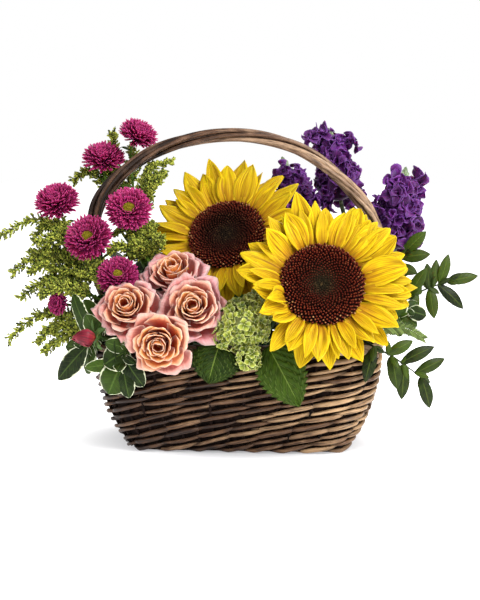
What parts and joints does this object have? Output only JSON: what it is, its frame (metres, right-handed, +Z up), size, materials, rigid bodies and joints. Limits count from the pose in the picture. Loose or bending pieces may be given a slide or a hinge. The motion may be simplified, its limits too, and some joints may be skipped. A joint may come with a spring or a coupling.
{
  "type": "flower basket arrangement",
  "caption": "Low rounded rectangular willow basket with a fixed arched handle, filled with cut flowers, side sprays and trailing greenery in a foam block.",
  "frame": {"origin": "centre of the basket's underside, on the surface it stands on", "axes": "+X along the basket's long side and the handle's plane, +Y towards the back, +Z up; the front faces -Y"},
  "size_m": [0.4497, 0.2411, 0.3027],
  "materials": {
    "aster_petal": "magenta ray petal",
    "aster_centre": "yellow green florets",
    "aster_green": "thin green stem",
    "willow_dark": "dark stained peeled willow rods, satin",
    "willow_border": "dark stained willow rods, satin",
    "willow_handle": "brown willow rods, lighter along their crowns",
    "fern_leaf": "fresh green frond",
    "foam": "wet green floral foam",
    "goldenrod_plume": "yellow green beads on a green stalk",
    "backing_leaf": "dark glossy leaf",
    "hydrangea_floret": "lime green floret",
    "hydrangea_leaf": "deep green toothed leaf, pale veins",
    "liner_plastic": "thin dark green moulded plastic",
    "myrtle_leaf": "dark glossy leaf, paler beneath",
    "pittosporum_leaf": "dark leaf with a cream margin, waxy",
    "rose_petal": "peach petal, paler pink at the rim",
    "rose_green": "green stem and sepals",
    "bud_petal": "crimson closed petal",
    "stock_petal": "deep purple ruffled petal",
    "stock_green": "grey green stem and buds",
    "sunflower_disc": "packed dark brown florets",
    "sunflower_petal": "soft matte petal, gold furrows at the root",
    "sunflower_green": "green stem and bracts, finely haired"
  },
  "bodies": {
    "root": {"aster_back_petals": "aster_petal", "aster_back_top_petals": "aster_petal", "aster_front_lower_centre": "aster_centre", "aster_front_lower_petals": "aster_petal", "aster_front_middle_centre": "aster_centre", "aster_front_middle_petals": "aster_petal", "aster_front_upper_centre": "aster_centre", "aster_front_upper_petals": "aster_petal", "aster_left_petals": "aster_petal", "aster_low_left_petals": "aster_petal", "aster_stem_back": "aster_green", "aster_stem_front": "aster_green", "aster_stem_left": "aster_green", "basket_base": "willow_dark", "basket_border": "willow_border", "basket_handle": "willow_handle", "basket_wall": "willow_dark", "fern_frond": "fern_leaf", "floral_foam": "foam", "goldenrod_back": "goldenrod_plume", "goldenrod_inner": "goldenrod_plume", "goldenrod_left_bottom": "goldenrod_plume", "goldenrod_left_low": "goldenrod_plume", "goldenrod_left_middle": "goldenrod_plume", "goldenrod_left_top": "goldenrod_plume", "goldenrod_middle": "goldenrod_plume", "greenery_back_left": "backing_leaf", "greenery_back_middle": "backing_leaf", "greenery_back_right": "backing_leaf", "hydrangea_florets": "hydrangea_floret", "hydrangea_stem": "hydrangea_leaf", "liner_tray": "liner_plastic", "myrtle_lower": "myrtle_leaf", "myrtle_top_right": "myrtle_leaf", "myrtle_upper": "myrtle_leaf", "pittosporum_left": "pittosporum_leaf", "pittosporum_low_left": "pittosporum_leaf", "pittosporum_right": "pittosporum_leaf", "rose_bottom_petals": "rose_petal", "rose_left_petals": "rose_petal", "rose_right_petals": "rose_petal", "rose_stem_left": "rose_green", "rose_stem_right": "rose_green", "rose_top_petals": "rose_petal", "rosebud_petals": "bud_petal", "stock_left_blooms": "stock_petal", "stock_left_stem": "stock_green", "stock_middle_blooms": "stock_petal", "stock_middle_stem": "stock_green", "stock_right_blooms": "stock_petal", "stock_right_stem": "stock_green", "sunflower_back_disc": "sunflower_disc", "sunflower_back_petals": "sunflower_petal", "sunflower_back_stem": "sunflower_green", "sunflower_front_disc": "sunflower_disc", "sunflower_front_petals": "sunflower_petal", "sunflower_front_stem": "sunflower_green"}
  },
  "joints": []
}
